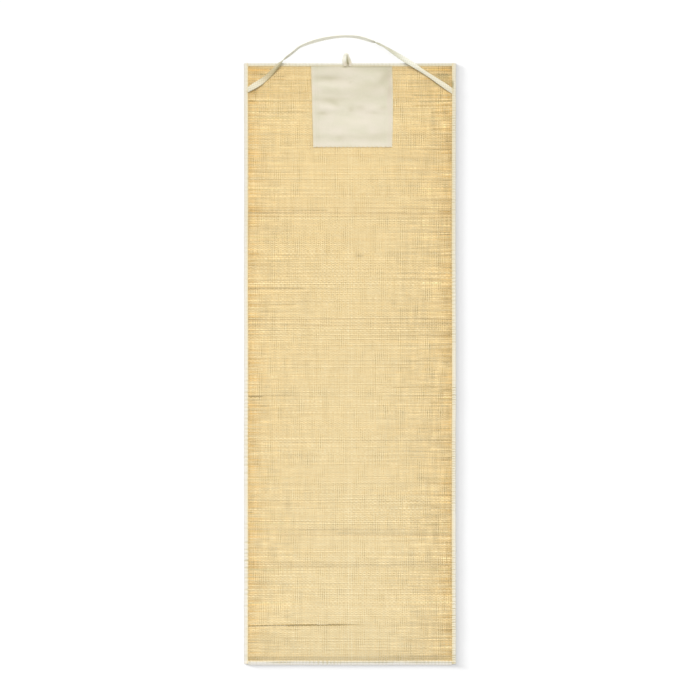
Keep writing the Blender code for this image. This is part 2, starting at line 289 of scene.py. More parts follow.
# Straws that stand out: how far below the head edge, their reach across, how many rows to each side,
# brightness, and tint, redder above 0 and greener below.
Mark = namedtuple("Mark", "below_mm from_mm to_mm rows shade tint", defaults=(0,))
MARKS = table(
    Mark,
    # The rows just under the head tape are painted lighter, against the tape's shadow on them.
    (8, -250, 290, 3, 1.055),
    (10, 205, 290, 2, 1.09),
    (17, -290, -225, 2, 1, 0.55),
    (17, 222, 282, 2, 1.02, 0.5),
    # The darker marks on the right, from 24 to 60 mm below the head edge, are painted shadow along the
    # strap's outer side.
    (24, 206, 228, 2, 0.88),
    (31, -262, -222, 1, 0.78, -0.3),
    (31, -275, -238, 7, 0.91, 0.12),
    (33, 226, 246, 2, 0.84),
    (35, -222, -178, 1, 0.7, 0.25),
    (36, 240, 288, 4, 0.76, -0.25),
    (43, -240, -180, 1, 0.84, 0.35),
    (43, 200, 232, 1, 0.95, 0.6),
    (44, 246, 286, 1, 0.8, -0.15),
    (51, 262, 290, 2, 0.87, -0.4),
    (56, 256, 276, 2, 0.86),
    (58, 236, 252, 3, 0.9, -0.6),
    (60, 262, 290, 4, 0.84, -0.1),
    (82, -290, -255, 4, 0.86, 0.15),
    (88, -290, -110, 8, 0.93, 0.1),
    (88, 126, 290, 8, 0.94, 0.1),
    (90, 176, 290, 1, 0.8, -0.2),
    (108, -290, -265, 2, 0.72, 0.45),
    (119, 176, 288, 1, 0.8, 0.3),
    (120, 236, 266, 8, 1.07, 0.05),
    (123, 176, 255, 1, 1.09),
    (139, -262, -110, 1, 0.82, 0.1),
    (139, 226, 290, 2, 0.8, 0.2),
    (144, 238, 268, 8, 1.09, 0.05),
    (185, 232, 290, 1, 0.74, 0.4),
    (200, 170, 220, 4, 0.95, 0.08),
    (220, 270, 290, 1, 0.66, 0.4),
    (260, -250, -215, 3, 0.96, 0.08),
    (316, -290, -245, 5, 0.955, 0.05),
    (418, -290, -58, 1, 0.74, 0.15),
    (418, 246, 290, 1, 0.72, 0.25),
    (430, -245, -190, 5, 0.96, 0.03),
    (546, 14, 44, 1, 0.8, 0.1),
    (599, 181, 268, 5, 0.955, 0.03),
    (637, -290, -120, 1, 0.8, 0.1),
    (682, -290, -150, 1, 0.8, 0.2),
    (854, 205, 268, 6, 1.075, 0.04),
    (908, -245, -215, 7, 0.945),
    (917, 120, 290, 1, 0.78, 0.2),
    (944, -290, -240, 2, 0.66, 0.2),
    (949, 262, 290, 12, 1.12),
    (996, 205, 240, 5, 1.05),
    (1052, 232, 266, 5, 1.12),
    (1106, -290, -262, 9, 1.07),
    (1138, -275, -190, 9, 0.975),
    (1191, 208, 240, 8, 0.94),
    (1222, 180, 240, 12, 0.97),
    (1222, 262, 290, 5, 1.04),
    (1251, 225, 278, 8, 0.93, 0.05),
    (1272, -290, -272, 1, 0.6, 0.2),
    (1322, -290, 290, 2, 0.9),
    (1330, -40, 290, 2, 0.86),
    (1361, -275, -240, 8, 0.94),
    (1420, -290, 290, 6, 0.955),
    (1424, -200, 290, 1, 0.9, 0.05),
    (1435, -250, -205, 6, 0.95),
    (1463, 176, 240, 8, 0.963),
    (1470, -275, -212, 7, 0.96),
    (1490, 170, 245, 8, 0.95),
    (1534, -278, -160, 5, 1.095),
    (1559, -245, -215, 8, 0.95),
    (1591, 195, 268, 9, 0.925, 0.03),
    (1619, -226, -175, 5, 0.955),
    (1640, -275, -160, 12, 0.965),
    (1673, 238, 266, 7, 1.06),
    (1686, -290, 290, 4, 0.9, 0.05),
)

# Each warp's straws are pressed a little lighter or darker for a stretch, more so near the sides.
warp_shade = np.stack([drift(row_middle, WARP_SHADE_STEP) for _ in warp_x], axis=1)


def straw_colours(rows, x, y, pressed):
    """Each straw's colour, fading along it, with the painted shade and light of the listed marks and the
    parted row. Roots at the sides are redder and darker.
    """
    count = len(rows)
    own = OWN_SIZE * draw.normal(size=(count, 1)).clip(-2, 2)
    fade = np.zeros_like(x)
    warmth = np.zeros_like(x)
    for n in range(count):
        left = x[n] < 0
        for half, side, reddest, darkest in ((left, -1, 0.6, 0.06), (~left, 1, 0.3, 0.13)):
            fade[n, half] = drift(x[n, half], FADE_STEP, FADE_SIZE) + 0.012 * draw.normal()
            reach = ROOT_REACH + ROOT_LONGER * draw.random() ** 1.5
            root = ease(1 - (HALF_WIDTH - side * x[n, half]) / reach)
            warmth[n, half] = root * (0.34 + reddest * draw.random() ** 1.5) + 0.05 * draw.normal()
            fade[n, half] -= root * (0.01 + darkest * draw.random())
    across = np.abs(x - 0.01) / HALF_WIDTH
    rightward = ease(x / HALF_WIDTH)
    near_head = bell(y, HEAD_EDGE, 0.085)
    near_foot = bell(y, FOOT_EDGE, 0.03)
    own = 1 + own * (0.06 + across**1.4 + 0.9 * rightward + 0.7 * near_head)
    fade *= 0.17 + 1.35 * across + 0.45 * rightward
    broad = 1.015 - 0.012 * across**2 - 0.04 * rightward - 0.045 * near_head - 0.105 * near_foot
    stretches = 1 + (0.01 + 0.032 * across**1.5 + 0.02 * rightward) * pressed
    shade = own * (1 + fade) * broad * stretches
    warmth += 0.14 * across**2 + 0.12 * rightward * across + 0.13 * near_head
    greens = np.where(draw.random((count, 1)) < GREEN_STRAWS, 0.35 * draw.random((count, 1)), 0)
    browns = np.where(draw.random((count, 1)) < BROWN_STRAWS, 0.25 * draw.random((count, 1)), 0)
    greens = greens * ease((across - 0.35) * 2.2)
    for mark in MARKS:
        there = np.abs(HEAD_EDGE - mark.below_mm * MM - rows) < mark.rows * ROW_HALF
        inside = ease((x - mark.from_mm * MM) / 0.006) * ease((mark.to_mm * MM - x) / 0.012)
        weight = inside * there[:, None]
        shade *= 1 + (mark.shade - 1) * weight
        warmth += max(mark.tint, 0) * weight
        greens += max(-mark.tint, 0) * weight
    parted = np.abs(y - PARTED_AT - PARTED_RISE * (x + HALF_WIDTH)) < PARTED_HALF
    parted = (parted * parted_share(x))[..., None]
    mix = PALE
    for tone, share in ((WARM, warmth), (GREENISH, greens), (BROWN, browns)):
        share = np.clip(share, 0, 1)[..., None]
        mix = mix * (1 - share) + tone * share
    # The parted row's straws get painted shade and a brown tint, standing for the shadow in the gap.
    mix = mix * (1 - (1 - PARTED_TINT) * parted) * (1 - PARTED_DARK * parted)
    down = (HEAD_EDGE - y)[..., None] / (HEAD_EDGE - FOOT_EDGE)
    down *= 1 - 0.42 * across[..., None] ** 2
    aged = YELLOWER * (1 - down) + FADED * down
    return np.clip(mix * shade[..., None] * aged, 0.02, 0.95)


def points_of(piece):
    """Where the points of a mesh are, one row each."""
    points = np.zeros(len(piece.data.vertices) * 3)
    piece.data.vertices.foreach_get("co", points)
    return points.reshape(-1, 3)


def move_points(piece, points):
    """Puts the points of a mesh somewhere else."""
    piece.data.vertices.foreach_set("co", np.ascontiguousarray(points, dtype=np.float32).ravel())
    piece.data.update()


def cut_rings(strand, number):
    """Cuts a strand's long edges, with a ring round it at each cut."""
    bpy.ops.object.mode_set(mode="EDIT")
    bpy.ops.mesh.select_mode(type="EDGE")
    bpy.ops.mesh.select_all(action="DESELECT")
    bpy.ops.object.mode_set(mode="OBJECT")
    points = strand.data.vertices
    for edge in strand.data.edges:
        start, end = (points[index].co for index in edge.vertices)
        edge.select = (start - end).length > 1.9 * STRAND_RADIUS
    bpy.ops.object.mode_set(mode="EDIT")
    bpy.ops.mesh.subdivide(number_cuts=number)
    bpy.ops.object.mode_set(mode="OBJECT")


def lay_strands(name, sides, length, turn, cuts, count, step):
    """Thin cylinders laid side by side as one mesh, cut into rings, and the points of the first."""
    bpy.ops.mesh.primitive_cylinder_add(vertices=sides, radius=STRAND_RADIUS, depth=length, rotation=turn)
    strands = bpy.context.object
    strands.name = name
    bpy.ops.object.transform_apply(rotation=True)
    for number in cuts:
        cut_rings(strands, number)
    copies = strands.modifiers.new("Copies", "ARRAY")
    copies.count = count
    copies.use_relative_offset = False
    copies.use_constant_offset = True
    copies.constant_offset_displace = step
    bpy.ops.object.modifier_apply(modifier=copies.name)
    strands.data.shade_smooth()
    return strands, points_of(strands)[: len(strands.data.vertices) // count]


def number_points(piece, name, values, kind="FLOAT", field="value"):
    """Gives each point a number or a colour of its own, as an attribute of the mesh."""
    layer = piece.data.attributes.new(name, kind, "POINT")
    layer.data.foreach_set(field, np.ascontiguousarray(values, dtype=np.float32).ravel())


def node(tree, kind, inputs, **settings):
    """A new node's outputs. Each input is a plain value or the output of another node."""
    made = tree.nodes.new(f"ShaderNode{kind}")
    for label, value in settings.items():
        setattr(made, label, value)
    for label, value in inputs.items():
        if isinstance(value, bpy.types.NodeSocket):
            tree.links.new(value, made.inputs[label])
        else:
            made.inputs[label].default_value = value
    return made.outputs


def point_value(tree, name, output="Fac"):
    """What number_points gave the mesh under that name."""
    return node(tree, "Attribute", {}, attribute_name=name)[output]


def noise(tree, place, scale, detail, roughness=0.55):
    """Noise by the place on a piece, stretched by scale along X, Y and Z."""
    stretched = node(tree, "Mapping", {"Vector": place, "Scale": scale})["Vector"]
    grain = {"Scale": 1, "Detail": detail, "Roughness": roughness}
    return node(tree, "TexNoise", {"Vector": stretched, **grain})["Fac"]


def ranged(tree, source, low, high, to_low, to_high):
    """source from low..high read as to_low..to_high, clamped."""
    ends = {"From Min": low, "From Max": high, "To Min": to_low, "To Max": to_high}
    return node(tree, "MapRange", {"Value": source, **ends})["Result"]


def times(tree, first, second):
    """One number by another."""
    return node(tree, "Math", {0: first, 1: second}, operation="MULTIPLY")["Value"]


def shaded(tree, strength, source, *ends):
    """The strength so far, by one more source read as in ranged."""
    return times(tree, strength, ranged(tree, source, *ends))


def mixed(tree, share, first, second, **settings):
    """From the first colour to the second, by share."""
    colours = {"Factor": share, "A": first, "B": second}
    return node(tree, "Mix", colours, data_type="RGBA", **settings)["Result"]


def dress(tree, shader, colour, strength, roughness, height, distance, bump):
    """Links a finish up: its colour brightened by strength, its roughness and its bump."""
    tinted = node(tree, "VectorMath", {0: colour, "Scale": strength}, operation="SCALE")["Vector"]
    bumped = node(tree, "Bump", {"Height": height, "Distance": distance, "Strength": bump})["Normal"]
    tree.links.new(tinted, shader.inputs["Base Color"])
    tree.links.new(bumped, shader.inputs["Normal"])
    if roughness is not None:
        tree.links.new(roughness, shader.inputs["Roughness"])


def straw_finish():
    """Dried rush: fine fibres along each straw, small blotches, a soft waxy shine."""
    finish, tree, shader = new_finish("rush_straw", 0.55, 0.35)
    place = node(tree, "TexCoord", {})["Object"]
    fibres = noise(tree, place, (28, 1900, 1900), 3)
    blotches = noise(tree, place, (70, 320, 320), 4, 0.65)
    lines = noise(tree, place, (170, 9, 1), 2)
    strength = ranged(tree, fibres, 0.3, 0.7, 0.95, 1.04)
    strength = shaded(tree, strength, blotches, 0.25, 0.75, 0.94, 1.05)
    strength = shaded(tree, strength, lines, 0.3, 0.7, *TIGHT_LINES)
    # Painted shade at the threads, where they press into the straws, and painted light between them: deep
    # in some patches and faint in others.
    crossing = point_value(tree, "crossing")
    nearest = node(tree, "Math", {0: crossing, 1: 0.5}, operation="PINGPONG")["Value"]
    patches = noise(tree, place, (38, 21, 1), 1)
    at_threads = ranged(tree, patches, 0.46, 0.74, *AT_THREADS)
    between = ranged(tree, patches, 0.46, 0.74, *BETWEEN_THREADS)
    pressed = ranged(tree, nearest, 0.1, 0.3, at_threads, between)
    share = point_value(tree, "thread_shade_share")
    painted_thread_shade = node(tree, "Mix", {"Factor": share, "A": 1, "B": pressed})["Result"]
    strength = times(tree, strength, painted_thread_shade)
    # Painted shade where a thread dips the straw, painted light where the straw rises over one.
    strength = shaded(tree, strength, point_value(tree, "under_thread"), -1, 1, *DIP_DARK)
    # The two pale lines down the middle.
    across = node(tree, "SeparateXYZ", {0: place})["X"]
    aside = node(tree, "Math", {0: across}, operation="ABSOLUTE")["Value"]
    band = {0: aside, 1: MIDDLE_LINE_AT, 2: MIDDLE_LINE_HALF}
    on_line = node(tree, "Math", band, operation="COMPARE")["Value"]
    strength = shaded(tree, strength, on_line, 0, 1, 1, MIDDLE_PALE)
    cast = mixed(tree, ranged(tree, strength, 0.86, 1.08, 0, 1), DARK_CAST, LIGHT_CAST)
    own = point_value(tree, "straw_colour", "Color")
    colour = node(tree, "VectorMath", {0: own, 1: cast}, operation="MULTIPLY")["Vector"]
    shine = ranged(tree, blotches, 0.3, 0.7, 0.48, 0.66)
    dress(tree, shader, colour, strength, shine, fibres, 0.00012, 0.5)
    return finish


rush = straw_finish()
straw_length = 2 * (HALF_WIDTH - PANEL_INSET)
straw_turn = (0, math.pi / 2, 0)
bands = []
for band in range(BANDS):
    count = STRAWS // BANDS
    rows = slice(band * count, (band + 1) * count)
    name = f"woven_straw_{band + 1}"
    step = (0, -0.003, 0)
    straws, one = lay_strands(name, STRAW_SIDES, straw_length, straw_turn, (WARPS,), count, step)
    ring = np.rint((one[:, 0] / straw_length + 0.5) * (WARPS + 1)).astype(int)
    side, up = np.rint(one[:, 1:].T / STRAND_RADIUS)
    middle = row_middle[rows, None] * np.ones(len(one))
    x = warp_x[ring] + thread_wander(ring, middle)
    width = row_width[rows, None] * (1 + 0.05 * np.sin(40 * x + 9 * np.arange(count)[:, None]))
    centre_y = within(middle + row_bow(x, middle) + parted_push(x, middle - PARTED_AT - OFF_PARTED))
    y = centre_y + side * width / 2 * STRAW_OVERLAP
    pinch = panel_thickness(x, y) / PANEL_THICKNESS
    over = thread_over[rows][:, ring]
    rise = up * STRAW_HALF_HEIGHT * fullness[rows, None] - DIP * over
    move_points(straws, np.stack([x, y, panel_middle(x, y) + rise * pinch], axis=-1))
    first = np.unique(ring, return_index=True)[1]
    colours = straw_colours(row_middle[rows], x[:, first], centre_y[:, first], warp_shade[rows])
    colours = np.insert(colours[:, ring], 3, 1, axis=-1)
    number_points(straws, "straw_colour", colours, "FLOAT_COLOR", "color")
    number_points(straws, "crossing", np.tile(ring, count))
    aside = np.abs(x) / HALF_WIDTH
    # How much of the painted thread shade each point takes, more at the sides and most at the right.
    number_points(straws, "thread_shade_share", 0.72 + 0.1 * aside + 0.18 * ease(x / HALF_WIDTH))
    number_points(straws, "under_thread", over * (0.6 + 0.45 * aside))
    straws.data.materials.append(rush)
    bands.append(straws)

# The warp threads: thin cream cotton, running from head to foot about 6 mm apart, each passing over
# one straw and under the next. Here and there a thread takes two straws at once.
THREAD_WIDTH = 0.0013
THREAD_HEIGHT = 0.0007
THREAD_CLEAR = 0.00012
THREAD_PIECES = 3
THREAD_SIDES = 3
THREAD_CUTS = (32, 16)
THREAD_TONE = (0.9, 0.74, 0.43)


def thread_finish():
    """Thin spun cotton: cream, slightly soiled, with a fine twist."""
    finish, tree, shader = new_finish("warp_cotton", 0.85, 0.15)
    place = node(tree, "TexCoord", {})["Object"]
    soil = noise(tree, place, (60, 25, 60), 3)
    twist = noise(tree, place, (1500, 900, 1500), 2)
    strength = ranged(tree, soil, 0.3, 0.7, 0.9, 1.08)
    strength = shaded(tree, strength, twist, 0.3, 0.7, 0.92, 1.05)
    dress(tree, shader, THREAD_TONE, strength, None, twist, 0.0001, 0.5)
    return finish


cotton_thread = thread_finish()
thread_length = HEAD_EDGE - FOOT_EDGE - 2 * PANEL_INSET
thread_turn = (-math.pi / 2, 0, 0)
stations = np.array([HEAD_EDGE - PANEL_INSET, *row_middle, FOOT_EDGE + PANEL_INSET])
over_at = np.pad(thread_over, ((1, 1), (0, 0)))
full_at = np.pad(fullness, 1)
warp_pieces = []
for part in range(THREAD_PIECES):
    count = WARPS // THREAD_PIECES
    name = f"warp_threads_{part + 1}"
    step = (0.006, 0, 0)
    threads, one = lay_strands(name, THREAD_SIDES, thread_length, thread_turn, THREAD_CUTS, count, step)
    station = np.rint((0.5 - one[:, 1] / thread_length) * (STRAWS + 1)).astype(int)
    warp = (1 + part * count + np.arange(count))[:, None] * np.ones(len(one), int)
    along = stations[station] * np.ones((count, 1))
    centre_x = warp_x[warp] + thread_wander(warp, along)
    y = within(along + row_bow(centre_x, along) + parted_push(centre_x, along - PARTED_AT))
    pinch = panel_thickness(centre_x, y) / PANEL_THICKNESS
    over = over_at[station][:, warp[:, 0]].T
    reach = STRAW_HALF_HEIGHT * full_at[station] - DIP + THREAD_CLEAR
    rise = over * reach + one[:, 2] / STRAND_RADIUS * THREAD_HEIGHT / 2
    x = centre_x + one[:, 0] / STRAND_RADIUS * THREAD_WIDTH / 2
    move_points(threads, np.stack([x, y, panel_middle(centre_x, y) + rise * pinch], axis=-1))
    threads.data.materials.append(cotton_thread)
    warp_pieces.append(threads)

for piece in [*bands, *warp_pieces]:
    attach(piece, "root")
    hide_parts("straw_panel")

# The edge tapes: cream cotton tape folded in half over each edge of the straw and sewn down with one
# line of running stitch. The side tapes run the full length, the end tapes butt against them. The
# thread draws them into small puckers, and the carry strap's ends lift the side tapes a little.
SIDE_REACH = 0.0115
HEAD_REACH = 0.0085
FOOT_REACH = 0.0086
BUTT_GAP = 0.0003
TAPE_CLOTH = 0.0008
TAPE_LOW = 0.0004
TAPE_HIGH = 0.0041
TAPE_STEP = 0.00185
LOWER_SPANS = 1
TURN_SPANS = 5
EDGE_WANDER = 0.0006
SEAM_INSET = 0.0024
SEAM_DEPTH = 0.00045
SEAM_HALF_WIDTH = 0.0009
EDGE_PRESS = 0.0004
CREASE_INSET = 0.0033
CREASE_HALF = 0.0014
CREST_INSET = 0.0064
LOBE_REACH = 0.006
STRAP_END_BELOW = 0.0775
STRAP_END_LIFT = 0.0016
STRAP_SHADE_BELOW = 0.061
STITCH_STEP = 0.006
STITCH_LENGTH = 0.0042
STITCH_HALF = 0.00033
STITCH_SLIM = 0.45
TAPE_WEAVE = 0.0006
TAPE_SOIL = (0.74, 0.66, 0.48)
TAPE_YELLOW = (0.78, 0.68, 0.45)
# The yellowish tint of the painted shade and grime on the cotton pieces.
SHADING_AND_GRIME_TONE = (1, 0.98, 0.55, 1)
# waves: how often the edge draws in. pucker and step: how high the puckers stand and how far apart.
# calm: how much of them is left at the head. outset: how far the tape reaches past the straw's edge. The
# last two columns are painted shade at the pocket's mouth and at the raw foot end.
Tape = namedtuple(
    "Tape",
    "name reach spans waves pucker step calm yellow_reach tone outset crease pressed mouth_dull end_dull",
    defaults=(0, 0, 0, 0, 0),
)
SIDE_TAPES = (
    Tape("left", SIDE_REACH, 6, 3, 0.0008, 0.0108, 0.3, 0.006, (0.79, 0.755, 0.68)),
    Tape("right", SIDE_REACH, 6, 2, 0.0012, 0.0067, 0.6, 0.0085, (0.77, 0.735, 0.635), end_dull=0.15),
)
END_TAPES = (
    Tape(
        "head", HEAD_REACH, 6, 1, 0.00025, 0.0098, 1, 0.005, (0.69, 0.668, 0.57),
        outset=0.0004, mouth_dull=0.12,
    ),
    Tape(
        "foot", FOOT_REACH, 11, 2, 0.00045, 0.0098, 1, 0.004, (0.76, 0.738, 0.695),
        outset=0.0045, crease=0.0016, pressed=0.75,
    ),
)


def cloth_grid(name, columns, rows, flat):
    """A flat cloth, its UV map laid out in metres, and each point's column and row."""
    bpy.ops.mesh.primitive_grid_add(x_subdivisions=columns, y_subdivisions=rows, size=1)
    cloth = bpy.context.object
    cloth.name = name
    layer = cloth.data.uv_layers.active
    spread = np.zeros(len(layer.uv) * 2, np.float32)
    layer.uv.foreach_get("vector", spread)
    spread = spread.reshape(-1, 2) * np.array(flat, np.float32)
    layer.uv.foreach_set("vector", spread.ravel())
    points = points_of(cloth)
    column = np.rint((points[:, 0] + 0.5) * columns).astype(int)
    row = np.rint((points[:, 1] + 0.5) * rows).astype(int)
    return cloth, column, row


def thicken(cloth, thickness, finish):
    """Gives the sheet just made its thickness, half to each side, and its finish."""
    shell = cloth.modifiers.new("Thickness", "SOLIDIFY")
    shell.thickness = thickness
    shell.offset = 0
    shell.use_even_offset = True
    bpy.ops.object.modifier_apply(modifier=shell.name)
    bpy.ops.object.shade_smooth_by_angle(angle=math.radians(50))
    cloth.data.materials.append(finish)


def woven(tree, place, pitch):
    """The over and under of a plain weave, from -1 to 1."""
    parts = node(tree, "SeparateXYZ", {0: place})
    turns = [times(tree, parts[label], math.pi / pitch) for label in ("X", "Y")]
    waves = [node(tree, "Math", {0: turn}, operation="SINE")["Value"] for turn in turns]
    return times(tree, *waves)


def cotton_finish(name, tone, soil_tone, stain_and_shade_tone, pitch, soil_scale, soil_share, weave_dark=0.93):
    """Undyed cotton cloth: its weave, uneven threads and soft soiling, its stains with some painted shade
    mixed in, and painted shade (above 0) or painted light (below 0) from the pieces' own values.
    """
    finish, tree, shader = new_finish(name, 0.9, 0.15)
    place = node(tree, "UVMap", {})["UV"]
    weave = woven(tree, place, pitch)
    soil = noise(tree, place, soil_scale, 3, 0.5)
    # The pieces' painted shading: darker and yellower above 0, lighter below 0.
    grime_and_painted_shading = point_value(tree, "grime_and_painted_shading")
    strength = ranged(tree, weave, -1, 1, weave_dark, 1.04)
    strength = shaded(tree, strength, grime_and_painted_shading, -1, 1, 2, 0)
    for slubs in ((1800, 240, 1), (240, 1800, 1)):
        strength = shaded(tree, strength, noise(tree, place, slubs, 3, 0.5), 0.3, 0.7, 0.96, 1.03)
    soiled = ranged(tree, soil, 0.35, 0.7, 0, soil_share)
    colour = mixed(tree, soiled, (*tone, 1), (*soil_tone, 1))
    colour = mixed(tree, point_value(tree, "stain"), colour, (*stain_and_shade_tone, 1))
    colour = mixed(tree, grime_and_painted_shading, colour, SHADING_AND_GRIME_TONE, blend_type="MULTIPLY")
    dull = ranged(tree, soil, 0.3, 0.7, 0.82, 0.95)
    dress(tree, shader, colour, strength, dull, weave, pitch * 0.22, 0.6)
    return finish


def tape_line(reach, spans):
    """The folded tape's middle line, inner lower edge to inner upper edge: inset and height."""
    radius = (TAPE_HIGH - TAPE_LOW) / 2
    middle = TAPE_LOW + radius
    lower = [(inset, TAPE_LOW) for inset in np.linspace(reach, middle, LOWER_SPANS + 1)]
    turns = -math.pi / 2 - math.pi * np.arange(1, TURN_SPANS) / TURN_SPANS
    turned = [(middle + radius * math.cos(turn), middle + radius * math.sin(turn)) for turn in turns]
    upper = [(inset, TAPE_HIGH) for inset in np.linspace(middle, reach, spans + 1)]
    return np.array(lower + turned + upper)


def pucker_waves(run, step, calm):
    """The puckers along one tape: fine and coarse ones mixed, calm at the head, growing to the foot."""
    waves = 0
    for longer, size, spacing, spread in ((1, 0.6, 0.06, 0.3), (1.6, 0.25, 0.08, 0.2)):
        wave = np.sin(2 * math.pi * run / (longer * step) + drift(run, 0.06, 2.2))
        waves += wave * (size + drift(run, spacing, spread))
    return waves * (calm + (1 - calm) * ease((0.2 - run) / 0.8))


def edge_wander(run, low, high, waves):
    """How far an edge draws in from its straight line, none at the corners."""
    return EDGE_WANDER * np.sin(math.pi * waves * (run - low) / (high - low)) ** 2


def tape_point(tape, inset, run, height):
    """A point of an edge tape, by its inset from the outer edge and its run along it."""
    outward = -1 if tape.name in ("left", "foot") else 1
    if tape in SIDE_TAPES:
        x = outward * (HALF_WIDTH - inset - edge_wander(run, FOOT_EDGE, HEAD_EDGE, tape.waves))
        return np.stack([x, run, height], axis=-1)
    edge = HEAD_EDGE if tape.name == "head" else -FOOT_EDGE
    y = outward * (edge - inset - edge_wander(run, -HALF_WIDTH, HALF_WIDTH, tape.waves))
    return np.stack([run, y, height], axis=-1)


def tape_shape(tape, line, runs):
    """A tape's points row by row, how deep its puckers are, and how creased and pressed it is."""
    run = runs[:, None]
    across, rise = line.T[:, None, :]
    inward = tape.reach - across
    waves = pucker_waves(runs, tape.step, tape.calm)[:, None]
    shift = drift(runs, 0.045, 0.00022)[:, None]
    upper = np.clip((np.arange(len(line)) - LOWER_SPANS) / TURN_SPANS, 0, 1)
    lift = STRAP_END_LIFT * bell(run, HEAD_EDGE - STRAP_END_BELOW, 0.008) * (tape in SIDE_TAPES)
    pressed_in = SEAM_DEPTH * bell(inward, SEAM_INSET, SEAM_HALF_WIDTH)
    pressed_in += EDGE_PRESS * (1 - ease(inward / 0.0014))
    height = rise - upper * pressed_in + upper * tape.pucker * waves * ease(inward / 0.0022)
    height += upper * lift * ease((across - 0.0015) / 0.006)
    depth = (0.9 + drift(runs, 0.05, 0.3)[:, None] - bell(run, runs[0], 0.04)).clip(0, 1.3)
    creased = bell(across, CREASE_INSET, CREASE_HALF) * depth
    height -= upper * tape.crease * creased
    lobe = 1 - ease((across + tape.outset) / LOBE_REACH)
    height = TAPE_LOW + (height - TAPE_LOW) * (1 - tape.pressed * lobe)
    inset = across + (shift + 0.8 * tape.pucker * waves) * (1 - upper * 0.5)
    inset -= 1.2 * lift * upper * ease((across - 0.006) / 0.005)
    points = tape_point(tape, inset, run * np.ones_like(inset), height)
    return points, upper, np.maximum(-waves, 0), creased, lobe


def tape_tones(tape, line, runs, sunken, creased, lobe):
    """Where a tape is yellowed, and how much darker (above 0) or lighter (below 0) it is: mostly painted
    shade and light.
    """
    run = runs[:, None]
    across = line[None, :, 0]
    inward = tape.reach - across
    from_end = run - runs[0]
    over_pocket = ease((run + 0.112) / 0.006) * ease((0.12 - run) / 0.006) * (tape.mouth_dull > 0)
    # The yellowing is deeper in the pucker troughs, as painted shade.
    yellow = 1 - ease(inward / tape.yellow_reach) + 300 * tape.pucker * sunken
    yellow = yellow.clip(0, 1) * (1 - 0.6 * over_pocket)
    # Painted shade in the pucker troughs; painted light on the pressed lobe, whose slope faces away from
    # the light.
    grime_and_painted_shading = 0.55 * (tape.pucker / tape.step) ** 0.5 * sunken - 0.24 * tape.pressed * lobe
    # Painted shade in the crease and a painted highlight on the crest beside it.
    grime_and_painted_shading += tape.crease * (260 * creased - 60 * bell(across, CREST_INSET, 0.0013))
    # Painted shadow along the head tape's inner edge where it lies over the pocket's mouth.
    grime_and_painted_shading += tape.mouth_dull * over_pocket * bell(inward, 0.0016, 0.0018)
    # The head tape is darker towards its right end, the side tapes towards the head.
    if tape.name == "head":
        grime_and_painted_shading += 0.08 * ease((run - 0.16) / 0.04)
    if tape in SIDE_TAPES:
        grime_and_painted_shading += 0.06 * ease((run + 0.1) / 0.6)
        # Darker near 18 mm from the foot end, lighter near 5 mm.
        grime_and_painted_shading = grime_and_painted_shading + 0.07 * bell(from_end, 0.018, 0.011) - 0.12 * bell(from_end, 0.005, 0.0032)
        # Painted shade at the right tape's raw foot end.
        grime_and_painted_shading += tape.end_dull * (1 - ease(from_end / 0.0034)) * ease(across / 0.002)
    if tape.name == "right":
        # Painted shadow on the right tape where the strap's end goes in under it.
        at_strap = bell(run, HEAD_EDGE - STRAP_SHADE_BELOW, 0.011)
        grime_and_painted_shading += 0.5 * at_strap * ease((across - 0.0045) / 0.004)
    return yellow, grime_and_painted_shading.clip(-0.2, 0.5)


def stitch_line(name, count):
    """Stitches in one mesh, and the first one's points: along, and aside and up, slimmer at its ends."""
    stitches, one = lay_strands(name, 4, STITCH_LENGTH, thread_turn, (1,), count, (0, STITCH_STEP, 0))
    stitches.data.materials.append(cotton_thread)
    along, slim = one[:, 1], np.where(np.abs(one[:, 1]) > STITCH_LENGTH / 4, STITCH_SLIM, 1)
    return stitches, along, one[:, 0] / STRAND_RADIUS * slim, one[:, 2] / STRAND_RADIUS * slim


def sew_tape(tape, low, high):
    """One folded tape and its line of stitches: one thread seen above, its mate seen below."""
    line = tape_line(tape.reach + tape.outset, tape.spans) - (tape.outset, 0)
    rows = round((high - low) / TAPE_STEP)
    flat = (float(np.cumsum(np.hypot(*np.diff(line, axis=0).T))[-1]), high - low)
    cloth, column, row = cloth_grid(f"cotton_tape_{tape.name}", len(line) - 1, rows, flat)
    runs = np.linspace(low, high, rows + 1)
    points, upper, *worn = tape_shape(tape, line, runs)
    move_points(cloth, points[row, column])
    yellow, grime_and_painted_shading = tape_tones(tape, line, runs, *worn)
    number_points(cloth, "stain", (upper * yellow)[row, column])
    number_points(cloth, "grime_and_painted_shading", (upper * grime_and_painted_shading)[row, column])
    finish = cotton_finish(
        f"edge_tape_{tape.name}", tape.tone, TAPE_SOIL, TAPE_YELLOW, TAPE_WEAVE, (60, 9, 1), 0.5
    )
    thicken(cloth, TAPE_CLOTH, finish)

    count = int((high - low - STITCH_STEP) / STITCH_STEP)
    stitches, along, aside, up = stitch_line(f"tape_stitches_{tape.name}", 2 * count)
    number = np.arange(2 * count)[:, None]
    below = number >= count
    run = low + STITCH_STEP * (1 + number % count) + along + below * STITCH_STEP / 2
    top = np.interp(run, runs, points[:, -1, 2]) + EDGE_PRESS - SEAM_DEPTH + TAPE_CLOTH / 2
    height = np.where(below, TAPE_LOW - TAPE_CLOTH / 2 + STITCH_HALF * 0.2, top + STITCH_HALF * 0.5)
    height += up * STITCH_HALF * np.where(below, 0.15, 1)
    inset = tape.reach - SEAM_INSET + aside * STITCH_HALF + 0.0001 * np.sin(37 * number)
    move_points(stitches, tape_point(tape, inset, run, height))
    return cloth, stitches, flat


